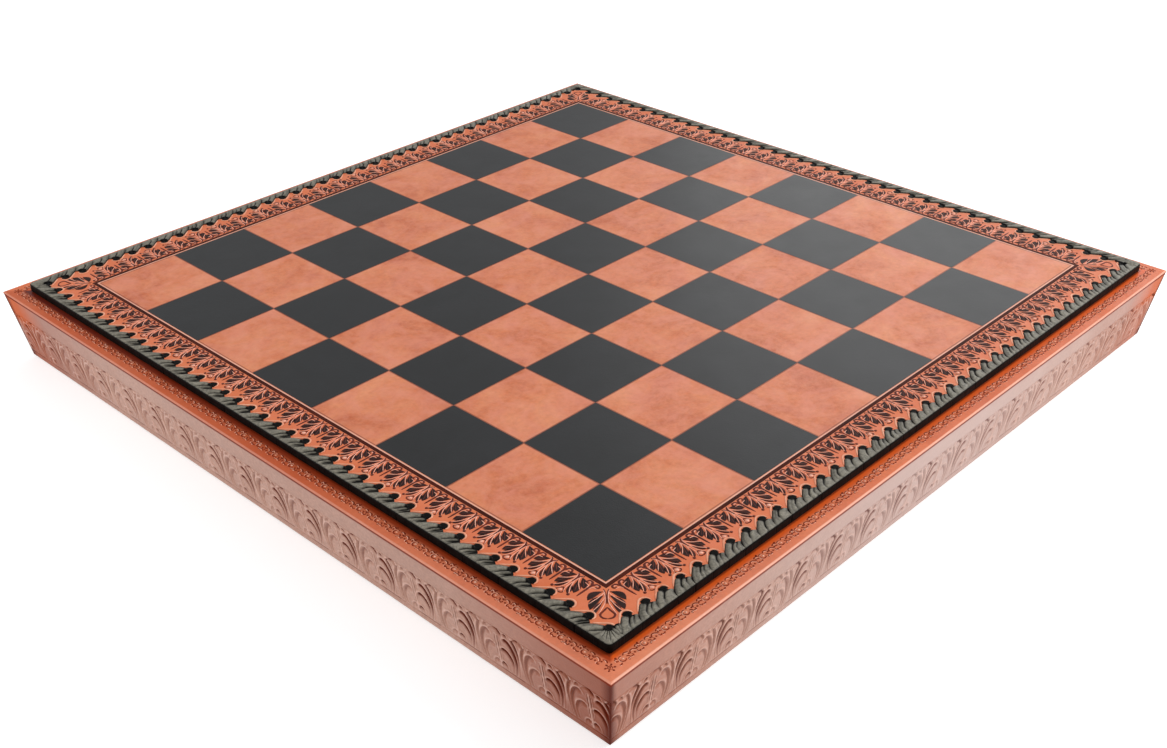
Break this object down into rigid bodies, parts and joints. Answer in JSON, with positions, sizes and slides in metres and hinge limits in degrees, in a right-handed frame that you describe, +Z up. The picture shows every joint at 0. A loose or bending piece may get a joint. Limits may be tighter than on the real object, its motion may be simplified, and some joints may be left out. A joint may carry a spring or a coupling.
{
  "type": "chess board",
  "caption": "Square leather-covered board case: a laced lift-off playing lid rests on the ledge of a tapered, embossed box with felt-lined trays.",
  "frame": {"origin": "on the surface that the case stands on, under the middle of the board", "axes": "+Z up; X and Y along the sides of the square; -Y is the side on the right of the picture and -X the side on its left, so the corner nearest the camera is at -X -Y"},
  "size_m": [0.48, 0.48, 0.0483],
  "materials": {
    "tan_leather": "waxed, mottled orange tan",
    "pressed_leather": "semi-gloss pinkish tan, pressed in relief with darker hollows",
    "black_leather": "glossy charcoal black",
    "lace_leather": "soft satin olive black",
    "board_wood": "plain fibreboard and ply, clear sealed",
    "brown_felt": "short dark brown felt"
  },
  "bodies": {
    "box": {"ledge_cover_front": "tan_leather", "ledge_cover_right": "tan_leather", "ledge_cover_back": "tan_leather", "ledge_cover_left": "tan_leather", "plain_strip_front": "pressed_leather", "plain_strip_right": "pressed_leather", "plain_strip_back": "pressed_leather", "plain_strip_left": "pressed_leather", "pressed_band_front": "pressed_leather", "pressed_band_right": "pressed_leather", "pressed_band_back": "pressed_leather", "pressed_band_left": "pressed_leather", "base_panel": "board_wood", "wall_board_front": "board_wood", "wall_board_right": "board_wood", "wall_board_back": "board_wood", "wall_board_left": "board_wood", "rim_rail_front": "board_wood", "rim_rail_right": "board_wood", "rim_rail_back": "board_wood", "rim_rail_left": "board_wood", "divider_across": "board_wood", "divider_along": "board_wood", "base_felt": "brown_felt", "floor_felt": "brown_felt", "wall_lining_front": "brown_felt", "wall_lining_right": "brown_felt", "wall_lining_back": "brown_felt", "wall_lining_left": "brown_felt"},
    "lid": {"lid_core": "board_wood", "playing_leather": "tan_leather", "dark_squares": "black_leather", "field_line": "black_leather", "lid_felt": "brown_felt", "lacing_front": "lace_leather", "lacing_right": "lace_leather", "lacing_back": "lace_leather", "lacing_left": "lace_leather", "lid_batten_front": "board_wood", "lid_batten_right": "board_wood", "lid_batten_back": "board_wood", "lid_batten_left": "board_wood"}
  },
  "joints": [
    {"name": "lid_lift", "type": "slide", "parent": "box", "child": "lid", "axis": [0, 0, 1], "range_m": [0, 0.08]}
  ]
}
